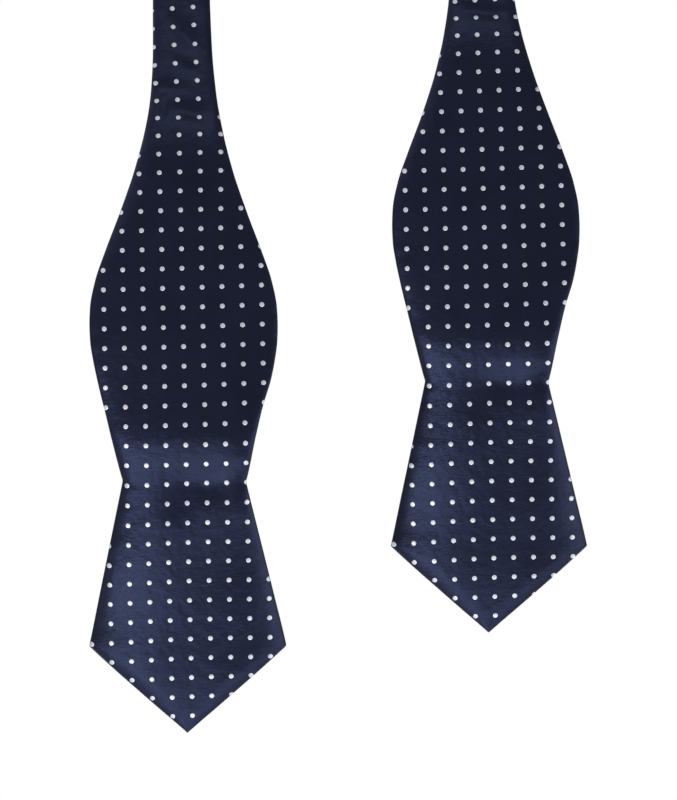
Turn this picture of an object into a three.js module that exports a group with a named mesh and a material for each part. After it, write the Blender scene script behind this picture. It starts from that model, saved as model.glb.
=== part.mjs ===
// A diamond point bow tie, untied, in the form that it hangs in round a neck. Each half is a long strip of
// two satin cloths sewn along their edges: a plain neck band that swells into a bulb, draws in to a pinch and
// opens into a pointed diamond end. At the nape both bands fold round one small metal ring.
// Millimetres and degrees, +Z up. The wearer faces -Y, so the ends hang in front of the origin, which is the
// middle of the ring's side that rests on the nape. The long half is on -X, the short half on +X.

import * as THREE from "three";

// The cut of each half, measured flat.
const cornerWidth = 63.5; // across the two corners of the diamond
const pinchWidth = 39.6;
const bulbWidth = 60.4;
const bandWidth = 18.5;
const pointLength = 27.55; // tip to corners
const flareLength = 53.8; // corners to pinch
const bulbLength = 50.65; // pinch to the bulb's widest line
const taperLength = 109; // the bulb's widest line to the plain band
const tipBlunt = 0.8; // width left at the very tip

// The cloths.
const clothThickness = 1; // one cloth with half of the padding
const edgeThickness = 0.6; // one cloth at the turned edge
const edgeRoll = 3.5; // strip along each edge where the cloth rounds down to the seam
const rollShare = 0.8; // most of the half width that the roll takes, near the tip
const innerRoll = 0.3; // share of the roll where its outer line lies
const seamGap = 0.3; // between front and back cloth
const crossBow = 260; // radius to which the strip bows back from its middle line
const cornerCurl = 3.6; // the diamond's corners curl back this much further

// The way round the neck.
const hangSpacing = 97.1; // between the lines of the two hanging ends
const napeSlope = 30; // fall of the loop from nape to front
const napeEvenness = 0.45; // 1 for a round nape, 0 for one that is flatter at the ring
const neckSpread = 10; // the loop widens past square by this much, then comes back in to the ends
const spreadStart = 45; // where it starts to widen, from the ring
const spreadLength = 40;
const spreadEnd = 165; // where it is back in line, from the ring
const rollStart = 60; // where the band starts to turn its face up, from the ring
const rollLength = 90;
const dropStart = 92; // where the band starts to dive over the collar, from the ring
const dropLength = 84;
const neckLean = 23; // lean back from upright of the stretch below the drop
const bandSlant = 1.2; // the bands above the ends stand this far to -X of the ends' lines
const slantStart = 100; // where they leave the loop's line, from the ring
const slantLength = 60;
const slantEnd = 267; // where they are back in line, from the ring
const longRun = 44; // straight stretch between the drop and the long end's taper
const shortRun = 9.2;

// The ring and the folded band ends.
const wire = 1.6;
const wireBevel = 0.45;
const wireClearance = 0.4; // ring to cloth, through the fold
const railClearance = 0.6; // ring to the band's edges
const foldSpacing = 2; // between the two folds in the ring
const tailLength = 15; // band turned back and sewn down
const tailEase = 0.8; // share of it over which it comes up to the band
const tailGap = 0.4; // tail to band where it is sewn

const satinColour = 0x14172e;
const satinBackColour = 0x12152a;
const ringColour = 0xb9bcc2;

// Width of the strip as a share of the swell from pinch to bulb, along the way from pinch to bulb.
const bulbCurve = [
  { along: 0, swell: 0 },
  { along: 0.08, swell: 0.105 },
  { along: 0.27, swell: 0.311 },
  { along: 0.46, swell: 0.523 },
  { along: 0.65, swell: 0.773 },
  { along: 0.78, swell: 0.902 },
  { along: 0.9, swell: 0.983 },
  { along: 1, swell: 1 },
];
// The same from band to bulb.
const taperCurve = [
  { along: 0, swell: 0 },
  { along: 0.16, swell: 0.016 },
  { along: 0.29, swell: 0.06 },
  { along: 0.415, swell: 0.155 },
  { along: 0.54, swell: 0.311 },
  { along: 0.665, swell: 0.527 },
  { along: 0.783, swell: 0.757 },
  { along: 0.87, swell: 0.911 },
  { along: 0.95, swell: 0.99 },
  { along: 1, swell: 1 },
];
// How far the visible end leans from upright along the way from tip to plain band: its upper side back, or
// forward where the lean is below 0.
const leanCurve = [
  { along: 0, lean: -13 },
  { along: 0.05, lean: -11 },
  { along: 0.115, lean: -6 },
  { along: 0.15, lean: -8.5 },
  { along: 0.2, lean: -9 },
  { along: 0.3, lean: -8 },
  { along: 0.33, lean: -7 },
  { along: 0.37, lean: -9 },
  { along: 0.385, lean: -6 },
  { along: 0.4, lean: -1 },
  { along: 0.415, lean: 2 },
  { along: 0.44, lean: 4 },
  { along: 0.65, lean: 4 },
  { along: 0.71, lean: 8 },
  { along: 0.76, lean: 15 },
  { along: 0.805, lean: 23 },
  { along: 0.825, lean: 27 },
  { along: 0.86, lean: neckLean },
  { along: 1, lean: neckLean },
];
// How far the visible end's middle stands to +X of its line, from tip to plain band.
const driftCurve = [
  { along: 0, drift: 1.15 },
  { along: 0.115, drift: 1.25 },
  { along: 0.187, drift: 0.96 },
  { along: 0.249, drift: 0.7 },
  { along: 0.336, drift: 0.33 },
  { along: 0.402, drift: 0 },
  { along: 0.44, drift: 0 },
  { along: 0.477, drift: 0.25 },
  { along: 0.53, drift: 0.1 },
  { along: 0.6, drift: 0 },
];
// Share of the corners' curl along the way from tip to plain band.
const curlCurve = [
  { along: 0, curl: 0.25 },
  { along: 0.06, curl: 0.35 },
  { along: 0.115, curl: 0.6 },
  { along: 0.158, curl: 1 },
  { along: 0.26, curl: 1 },
  { along: 0.332, curl: 0.4 },
  { along: 0.415, curl: 0 },
];

// Sections of each cloth along its stretches.
const hiddenSections = 26;
const plainSpacing = 20; // between sections of the straight band
const taperSections = 14;
const bulbSections = 10;
const flareSections = 4;
const pointSections = 4;
const foldSections = 8;
const tailSections = 5;

const endLength = pointLength + flareLength + bulbLength + taperLength;
const thickness = 2 * clothThickness + seamGap;
const foldRadius = wire / 2 + wireClearance + thickness / 2;
const barReach = foldSpacing / 2 + foldRadius + thickness / 2; // from the ring's middle to each bar's line
const degrees = Math.PI / 180;

// A smooth rise from 0 to 1 between from and from + length.
function rise(at, from, length) {
  return THREE.MathUtils.smoothstep(at, from, from + length);
}

// Reads a column of a table at a share along it, by a cubic curve through its rows that ends level.
function read(table, column, along) {
  const last = table.length - 1;
  if (along <= table[0].along) return table[0][column];
  if (along >= table[last].along) return table[last][column];
  const i = table.findIndex((row) => row.along > along) - 1;
  const slope = (a, b) => (b[column] - a[column]) / (b.along - a.along);
  const slopeAt = (k) => {
    if (k === last) return 0;
    const ahead = slope(table[k], table[k + 1]);
    return k === 0 ? ahead : slopeBetween(slope(table[k - 1], table[k]), ahead);
  };
  const span = table[i + 1].along - table[i].along;
  const t = (along - table[i].along) / span;
  return (
    table[i][column] * (1 + 2 * t) * (1 - t) ** 2 +
    table[i + 1][column] * t * t * (3 - 2 * t) +
    slopeAt(i) * span * t * (1 - t) ** 2 -
    slopeAt(i + 1) * span * t * t * (1 - t)
  );
}

// The slope at a row that keeps the curve from overshooting: none at a turn, else the harmonic mean.
function slopeBetween(before, after) {
  return before * after <= 0 ? 0 : (2 * before * after) / (before + after);
}

// Half width of a half at a distance from its tip.
function halfWidth(fromTip) {
  const corner = cornerWidth / 2;
  const pinch = pinchWidth / 2;
  const bulb = bulbWidth / 2;
  const band = bandWidth / 2;
  if (fromTip < pointLength) return THREE.MathUtils.lerp(tipBlunt / 2, corner, fromTip / pointLength);
  const onFlare = fromTip - pointLength;
  if (onFlare < flareLength) return THREE.MathUtils.lerp(corner, pinch, onFlare / flareLength);
  const onBulb = onFlare - flareLength;
  if (onBulb < bulbLength) {
    return THREE.MathUtils.lerp(pinch, bulb, read(bulbCurve, "swell", onBulb / bulbLength));
  }
  const toBand = endLength - fromTip;
  return THREE.MathUtils.lerp(band, bulb, read(taperCurve, "swell", toBand / taperLength));
}

// How far the strip's middle stands to +X of its line, at a distance from the tip and from the ring.
function drift(fromTip, fromRing) {
  const slanted = rise(fromRing, slantStart, slantLength) - rise(fromRing, slantEnd - slantLength, slantLength);
  return read(driftCurve, "drift", fromTip / endLength) - bandSlant * slanted;
}

// How far the strip stands back at a distance across from its middle.
function setBack(x, fromTip) {
  const curl = cornerCurl * read(curlCurve, "curl", fromTip / endLength);
  return x ** 2 / (2 * crossBow) + curl * Math.abs(x / (cornerWidth / 2)) ** 3;
}

// The frame of the band at a distance from the ring: the way it runs, its outer normal and its width.
// heading turns it round the neck, dive takes it down over the collar and roll turns its face forward.
function frameAt(fromRing, length, napeLength) {
  const fromTip = length - fromRing;
  const spread =
    rise(fromRing, spreadStart, spreadLength) - rise(fromRing, spreadEnd - spreadLength, spreadLength);
  const heading = (90 * headingShare(fromRing / napeLength) + neckSpread * spread) * degrees;
  const roll = 90 * degrees * rise(fromRing, rollStart, rollLength);
  const fullDive = 90 - napeSlope;
  const dive =
    fromTip < endLength
      ? (fullDive - read(leanCurve, "lean", fromTip / endLength)) * degrees
      : (fullDive - neckLean) * degrees * rise(fromRing, dropStart, dropLength);
  const slope = napeSlope * degrees;
  const across = new THREE.Vector3(1, 0, 0);
  const forward = new THREE.Vector3(0, -Math.cos(slope), -Math.sin(slope));
  const up = new THREE.Vector3(0, -Math.sin(slope), Math.cos(slope));
  const level = combine(across, Math.cos(heading), forward, Math.sin(heading));
  const outward = combine(across, Math.sin(heading), forward, -Math.cos(heading));
  const run = combine(level, Math.cos(dive), up, -Math.sin(dive));
  const lifted = combine(up, Math.cos(dive), level, Math.sin(dive));
  const normal = combine(outward, Math.cos(roll), lifted, Math.sin(roll));
  const width = combine(outward, Math.sin(roll), lifted, -Math.cos(roll));
  return { run, normal, width };
}

function combine(a, p, b, q) {
  return a.clone().multiplyScalar(p).addScaledVector(b, q);
}

// Share of the quarter turn round the nape: slow at the ring and at the side of the neck.
function headingShare(t) {
  const at = THREE.MathUtils.clamp(t, 0, 1);
  return THREE.MathUtils.lerp(rise(at, 0, 1), at, napeEvenness);
}

// Walks the middle line of a half from the ring to the tip, with a station at each mark.
function walk(marks, length, napeLength) {
  const step = 0.5;
  const stations = [];
  const place = new THREE.Vector3(barReach, 0, 0);
  place.addScaledVector(frameAt(0, length, napeLength).normal, 2 * foldRadius + thickness / 2);
  let at = 0;
  for (const mark of marks) {
    const steps = Math.ceil((mark - at) / step);
    const dist = (mark - at) / Math.max(1, steps);
    for (let i = 0; i < steps; i++) {
      place.addScaledVector(frameAt(at + (i + 0.5) * dist, length, napeLength).run, dist);
    }
    at = mark;
    stations.push({ ...frameAt(mark, length, napeLength), place: place.clone(), fromTip: length - mark });
  }
  return stations;
}

// The stations of a half whose end hangs at its place. The length of the quarter turn round the nape is
// corrected until it does.
function hang(run) {
  const length = dropStart + dropLength + run + endLength;
  const marks = marksAlong(length, run);
  let napeLength = hangSpacing / 2;
  let stations = walk(marks, length, napeLength);
  for (let i = 0; i < 6; i++) {
    napeLength *= 1 + (hangSpacing / 2 - stations.at(-1).place.x) / (hangSpacing / 2 - barReach);
    stations = walk(marks, length, napeLength);
  }
  return stations;
}

// Distances from the ring at which a half has a section: close together where it bends or changes width.
function marksAlong(length, run) {
  const bandTop = dropStart + dropLength;
  const marks = [];
  const spread = (from, to, count) => {
    for (let i = 0; i < count; i++) marks.push(THREE.MathUtils.lerp(from, to, i / count));
  };
  const pinchAt = length - pointLength - flareLength;
  const bulbAt = pinchAt - bulbLength;
  const bandAt = bulbAt - taperLength;
  spread(0, bandTop, hiddenSections);
  spread(bandTop, bandAt, Math.ceil(run / plainSpacing));
  spread(bandAt, bulbAt, taperSections);
  spread(bulbAt, pinchAt, bulbSections);
  spread(pinchAt, length - pointLength, flareSections);
  spread(length - pointLength, length, pointSections);
  marks.push(length);
  return marks;
}

// The fold round the ring's bar and the tail sewn down behind the band, in order from the tail's end.
function foldBack(stations) {
  const first = stations[0];
  const centre = first.place.clone().addScaledVector(first.normal, -foldRadius);
  const folded = [];
  for (let i = foldSections; i > 0; i--) {
    const angle = (180 * degrees * i) / foldSections;
    const normal = combine(first.normal, Math.cos(angle), first.run, -Math.sin(angle));
    const place = centre.clone().addScaledVector(normal, foldRadius);
    folded.push({ place, normal, width: first.width, fromTip: first.fromTip });
  }
  const tail = [];
  for (let i = tailSections; i > 0; i--) {
    const along = (tailLength * i) / tailSections;
    const behind = beside(stations, along);
    const settled = rise(along, 0, tailEase * tailLength);
    const offset = THREE.MathUtils.lerp(2 * foldRadius, thickness + tailGap, settled);
    const place = behind.place.clone().addScaledVector(behind.normal, -offset);
    tail.push({ place, normal: behind.normal.clone().negate(), width: behind.width, fromTip: first.fromTip });
  }
  return [...tail, ...folded];
}

// A place and frame between two stations, at a distance from the ring.
function beside(stations, along) {
  const total = stations[0].fromTip;
  const i = Math.max(1, stations.findIndex((s) => total - s.fromTip >= along));
  const [a, b] = [stations[i - 1], stations[i]];
  const t = (along - (total - a.fromTip)) / (a.fromTip - b.fromTip);
  return {
    place: a.place.clone().lerp(b.place, t),
    normal: a.normal.clone().lerp(b.normal, t).normalize(),
    width: a.width.clone().lerp(b.width, t).normalize(),
  };
}

// Thickness of one cloth at a distance in from the edge.
function clothAt(inward) {
  const q = THREE.MathUtils.clamp(inward / edgeRoll, 0, 1);
  return THREE.MathUtils.lerp(edgeThickness, clothThickness, Math.sqrt(q * (2 - q)));
}

// One cloth as a closed geometry: face 1 is the front cloth, -1 the back one; side 1 is the half on +X.
function clothGeometry(stations, face, side) {
  const length = stations[0].fromTip;
  const points = [];
  for (const s of stations) {
    const half = halfWidth(s.fromTip);
    const lines = linesAcross(half);
    for (const depth of [1, 0]) {
      for (const x of lines) {
        const cloth = depth * clothAt(half - Math.abs(x));
        const offset = face * (seamGap / 2 + cloth) - setBack(x, s.fromTip);
        const point = s.place.clone().addScaledVector(s.width, x + side * drift(s.fromTip, length - s.fromTip));
        point.addScaledVector(s.normal, offset);
        points.push(side * point.x, point.y, point.z);
      }
    }
  }
  return closedStrip(points, stations.length, linesAcross(1).length, -face * side);
}

// Where the lines that run along a strip cross it: its edges, two lines inside each and its middle.
function linesAcross(half) {
  const rolled = Math.min(edgeRoll, rollShare * half);
  const outer = [half - rolled, half - innerRoll * rolled, half];
  return [...outer.toReversed().map((reach) => -reach), 0, ...outer];
}

// Joins rows of 2 * columns points, outer ones then inner ones, into a closed strip with an end at each row's
// end; turn 1 or -1 says which way its faces look.
function closedStrip(points, rows, columns, turn) {
  const faces = [];
  const quad = (a, b, c, d) => {
    if (turn > 0) faces.push(a, b, c, a, c, d);
    else faces.push(a, c, b, a, d, c);
  };
  const outer = (row, column) => row * 2 * columns + column;
  const inner = (row, column) => outer(row, column) + columns;
  for (let r = 0; r + 1 < rows; r++) {
    for (let c = 0; c + 1 < columns; c++) {
      quad(outer(r, c), outer(r, c + 1), outer(r + 1, c + 1), outer(r + 1, c));
      quad(inner(r, c + 1), inner(r, c), inner(r + 1, c), inner(r + 1, c + 1));
    }
    quad(inner(r, 0), outer(r, 0), outer(r + 1, 0), inner(r + 1, 0));
    quad(outer(r, columns - 1), inner(r, columns - 1), inner(r + 1, columns - 1), outer(r + 1, columns - 1));
  }
  for (let c = 0; c + 1 < columns; c++) {
    quad(inner(0, c), inner(0, c + 1), outer(0, c + 1), outer(0, c));
    quad(outer(rows - 1, c), outer(rows - 1, c + 1), inner(rows - 1, c + 1), inner(rows - 1, c));
  }
  const geometry = new THREE.BufferGeometry();
  geometry.setAttribute("position", new THREE.Float32BufferAttribute(points, 3));
  geometry.setIndex(faces);
  geometry.computeVertexNormals();
  return geometry;
}

function rectangle(path, halfX, halfY) {
  path.moveTo(-halfX, -halfY);
  path.lineTo(halfX, -halfY);
  path.lineTo(halfX, halfY);
  path.lineTo(-halfX, halfY);
  path.closePath();
  return path;
}

// The ring: a rectangle of wire with two bars for the folds, lying flat on the nape.
function ringMesh() {
  const railReach = bandWidth / 2 + railClearance;
  const holeX = barReach - wire / 2;
  const shape = rectangle(new THREE.Shape(), holeX + wire - wireBevel, railReach + wire - wireBevel);
  shape.holes.push(rectangle(new THREE.Path(), holeX + wireBevel, railReach + wireBevel));
  const geometry = new THREE.ExtrudeGeometry(shape, {
    depth: wire - 2 * wireBevel,
    bevelThickness: wireBevel,
    bevelSize: wireBevel,
    bevelSegments: 1,
  });
  geometry.translate(0, 0, wireBevel - wire / 2);
  const material = new THREE.MeshStandardMaterial({ color: ringColour, roughness: 0.3, metalness: 1 });
  const mesh = new THREE.Mesh(geometry, material);
  mesh.name = "band_ring";
  const outward = new THREE.Vector3(0, Math.cos(napeSlope * degrees), Math.sin(napeSlope * degrees));
  mesh.position.copy(outward).multiplyScalar(foldRadius + thickness / 2);
  mesh.rotation.x = (90 - napeSlope) * -degrees;
  return mesh;
}

// The two cloths of one half.
function half(name, run, side) {
  const stations = hang(run);
  const strip = [...foldBack(stations), ...stations];
  const group = new THREE.Group();
  for (const [part, face, color] of [
    ["front", 1, satinColour],
    ["back", -1, satinBackColour],
  ]) {
    const material = new THREE.MeshStandardMaterial({ color, roughness: 0.42, metalness: 0 });
    const mesh = new THREE.Mesh(clothGeometry(strip, face, side), material);
    mesh.name = `${name}_${part}`;
    group.add(mesh);
  }
  return group;
}

const tie = new THREE.Group();
tie.add(half("long_half", longRun, -1));
tie.add(half("short_half", shortRun, 1));
tie.add(ringMesh());

export default tie;
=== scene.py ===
"""The looks of a diamond point bow tie that hangs untied round a neck.

Each half is a long padded strip of dotted satin: a plain band that swells into a bulb, draws in to a pinch
and opens into a pointed diamond. Sizes are in millimetres and angles in degrees unless a name says
otherwise; every mesh is built in the row frame, in metres.
"""

import logging
import math
from collections.abc import Sequence
from dataclasses import dataclass, field
from enum import Enum

import bpy
import numpy as np
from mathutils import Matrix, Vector


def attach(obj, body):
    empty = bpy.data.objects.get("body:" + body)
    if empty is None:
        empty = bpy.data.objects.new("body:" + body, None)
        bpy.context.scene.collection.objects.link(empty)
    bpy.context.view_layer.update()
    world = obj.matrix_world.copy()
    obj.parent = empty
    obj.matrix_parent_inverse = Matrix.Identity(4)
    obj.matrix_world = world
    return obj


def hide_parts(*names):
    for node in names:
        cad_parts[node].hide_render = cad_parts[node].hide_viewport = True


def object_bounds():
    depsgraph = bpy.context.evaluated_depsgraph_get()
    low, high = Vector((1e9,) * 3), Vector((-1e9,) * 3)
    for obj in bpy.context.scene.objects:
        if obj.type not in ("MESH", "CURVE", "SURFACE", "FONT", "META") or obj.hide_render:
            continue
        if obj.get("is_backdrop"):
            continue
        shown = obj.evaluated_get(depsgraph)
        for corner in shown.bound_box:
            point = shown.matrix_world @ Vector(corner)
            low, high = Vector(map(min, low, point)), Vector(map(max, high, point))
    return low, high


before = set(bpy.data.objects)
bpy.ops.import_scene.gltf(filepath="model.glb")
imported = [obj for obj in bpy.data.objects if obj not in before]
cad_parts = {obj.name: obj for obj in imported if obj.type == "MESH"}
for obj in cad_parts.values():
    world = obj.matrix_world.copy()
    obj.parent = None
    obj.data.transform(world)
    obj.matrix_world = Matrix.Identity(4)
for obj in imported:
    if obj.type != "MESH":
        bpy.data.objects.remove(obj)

LOG = logging.getLogger("bow_tie")
METRES = 0.001  # metres in a millimetre
CLOTH_UV = "Cloth"  # the map that holds each point's place on the flat cloth, in metres
Rgb = tuple[float, float, float]
Rows = tuple[tuple[float, float], ...]


class Face(Enum):
    """Which cloth of a half."""

    FRONT = 1
    BACK = -1


class Side(Enum):
    """Which half: the value is the side of the wearer's middle that it hangs on."""

    LONG = -1
    SHORT = 1

    @property
    def stem(self) -> str:
        """The start of the names of the half's pieces."""
        return f"{self.name.lower()}_half"


def rise(at: np.ndarray, start: float, length: float) -> np.ndarray:
    """A smooth rise from 0 to 1.

    Args:
        at: Where to read it.
        start: Where it leaves 0.
        length: How far on it reaches 1.

    Returns:
        The height at each place.
    """
    t = np.clip((np.asarray(at, float) - start) / length, 0, 1)
    return t * t * (3 - 2 * t)


def stretch(at: np.ndarray, start: float, end: float, ease: float) -> np.ndarray:
    """A smooth rise from 0 to 1 and back.

    Args:
        at: Where to read it.
        start: Where it leaves 0.
        end: Where it is back at 0.
        ease: Length of the rise and of the fall.

    Returns:
        The height at each place.
    """
    return rise(at, start, ease) - rise(at, end - ease, ease)


def between_rows(at: np.ndarray, along: np.ndarray, rows: np.ndarray) -> np.ndarray:
    """Reads vectors between the places where they are known.

    Args:
        at: Where to read them.
        along: The places where they are known.
        rows: The vectors there, one row a place.

    Returns:
        One row for each place that is read.
    """
    return np.stack([np.interp(at, along, rows[:, k]) for k in range(3)], axis=1)


def loop_axes(slope: float) -> tuple[np.ndarray, np.ndarray]:
    """The directions of the loop round the neck, which slopes down to the front.

    Args:
        slope: Its slope.

    Returns:
        Unit vectors: forward in the loop, and up from it.
    """
    tilt = math.radians(slope)
    return np.array([0, -math.cos(tilt), -math.sin(tilt)]), np.array([0, -math.sin(tilt), math.cos(tilt)])


@dataclass(frozen=True)
class Curve:
    """A cubic curve through (along, value) rows that doesn't overshoot and ends level."""

    rows: Rows

    def at(self, along: np.ndarray) -> np.ndarray:
        """Reads the curve.

        Args:
            along: Where to read it.

        Returns:
            The value at each place, held level beyond both ends.
        """
        x, y = np.array(self.rows, float).T
        chord = np.diff(y) / np.diff(x)
        slope = np.zeros(len(x))
        slope[0] = chord[0]
        before, after = chord[:-1], chord[1:]
        turns = before * after <= 0
        slope[1:-1] = np.where(turns, 0, 2 * before * after / np.where(turns, 1, before + after))
        place = np.clip(np.asarray(along, float), x[0], x[-1])
        i = np.clip(np.searchsorted(x, place, side="right") - 1, 0, len(x) - 2)
        span = x[i + 1] - x[i]
        t = (place - x[i]) / span
        held = y[i] * (1 + 2 * t) * (1 - t) ** 2 + y[i + 1] * t * t * (3 - 2 * t)
        return held + span * (slope[i] * t * (1 - t) ** 2 - slope[i + 1] * t * t * (1 - t))


NO_CHANGE = Curve(((0, 0), (1, 0)))


@dataclass(frozen=True)
class Ripple:
    """A seeded sum of soft waves, for the small unevenness of sewn and padded cloth."""

    height: float
    shortest: float
    longest: float
    seed: int
    waves: int = 14

    def at(self, x: np.ndarray, y: np.ndarray) -> np.ndarray:
        """Reads the ripple.

        Args:
            x: Places across the cloth.
            y: Places along it.

        Returns:
            The height at each place, mostly within plus and minus the ripple's height.
        """
        draw = np.random.default_rng(self.seed)
        total = np.zeros(np.broadcast(x, y).shape)
        for _ in range(self.waves):
            length = self.shortest * (self.longest / self.shortest) ** draw.random()
            turn, phase = draw.random(2) * 2 * math.pi
            total += np.sin(2 * math.pi / length * (x * math.cos(turn) + y * math.sin(turn)) + phase)
        return total * self.height / math.sqrt(self.waves / 2)


@dataclass(frozen=True)
class StripCut:
    """The flat cut of one half."""

    corner_width: float = 63.5
    pinch_width: float = 39.6
    bulb_width: float = 60.4
    band_width: float = 18.5
    point_length: float = 27.35
    flare_length: float = 54.2
    bulb_length: float = 50.65
    taper_length: float = 109
    tip_blunt: float = 0.5
    softened: float = 0.35
    bulb_curve: Curve = Curve((
        (0, 0), (0.08, 0.105), (0.27, 0.311), (0.46, 0.523), (0.65, 0.773), (0.78, 0.902), (0.9, 0.983),
        (1, 1),
    ))
    taper_curve: Curve = Curve((
        (0, 0), (0.16, 0.016), (0.29, 0.06), (0.415, 0.155), (0.54, 0.311), (0.665, 0.527), (0.783, 0.757),
        (0.87, 0.911), (0.95, 0.99), (1, 1),
    ))

    @property
    def pinch_at(self) -> float:
        """Distance of the pinch from the tip."""
        return self.point_length + self.flare_length

    @property
    def end_length(self) -> float:
        """Length from the tip to the plain band."""
        return self.pinch_at + self.bulb_length + self.taper_length

    def sharp_half_width(self, from_tip: np.ndarray) -> np.ndarray:
        """Half the width of the cut, with its corners sharp.

        Args:
            from_tip: Distances from the tip.

        Returns:
            Half the width at each distance.
        """
        d = np.asarray(from_tip, float)
        blunt, corner, pinch, bulb, band = (
            w / 2
            for w in (self.tip_blunt, self.corner_width, self.pinch_width, self.bulb_width, self.band_width)
        )
        point = blunt + (corner - blunt) * d / self.point_length
        flare = corner + (pinch - corner) * (d - self.point_length) / self.flare_length
        swell = self.bulb_curve.at((d - self.pinch_at) / self.bulb_length)
        taper = self.taper_curve.at((self.end_length - d) / self.taper_length)
        widest = self.pinch_at + self.bulb_length
        return np.select(
            [d < self.point_length, d < self.pinch_at, d < widest],
            [point, flare, pinch + (bulb - pinch) * swell],
            band + (bulb - band) * taper,
        )

    def half_width(self, from_tip: np.ndarray) -> np.ndarray:
        """Half the width of the sewn strip, whose corners are a little soft.

        Args:
            from_tip: Distances from the tip.

        Returns:
            Half the width at each distance.
        """
        d = np.asarray(from_tip, float)
        near = np.minimum(self.softened, d)
        spread = [self.sharp_half_width(d + near * k) for k in (-1, -0.5, 0, 0.5, 1)]
        return np.mean(spread, axis=0)


@dataclass(frozen=True)
class RingSize:
    """The metal ring at the nape and the fold of the band round its bars."""

    wire: float = 1.6
    cloth_clearance: float = 0.4
    rail_clearance: float = 0.6
    fold_spacing: float = 2
    corner: float = 1.3
    tail_length: float = 15
    tail_ease: float = 0.8
    tail_gap: float = 0.4


@dataclass(frozen=True)
class ClothSize:
    """The two padded cloths of a half."""

    thickness: float = 1
    edge_roll: float = 3.5
    point_widening: float = 5.5
    roll_share: float = 0.8
    seam_gap: float = 0.3
    edge_round: float = 0.25
    round_share: float = 0.4
    edge_height: float = 0.34

    @property
    def strip_thickness(self) -> float:
        """Thickness of a whole half."""
        return 2 * self.thickness + self.seam_gap

    def turned(self, half: np.ndarray) -> np.ndarray:
        """How far in the turned edge is round.

        Args:
            half: Half the strip's width.

        Returns:
            The reach of the rounding for each width.
        """
        return np.minimum(self.edge_round, self.round_share * half)


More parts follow.
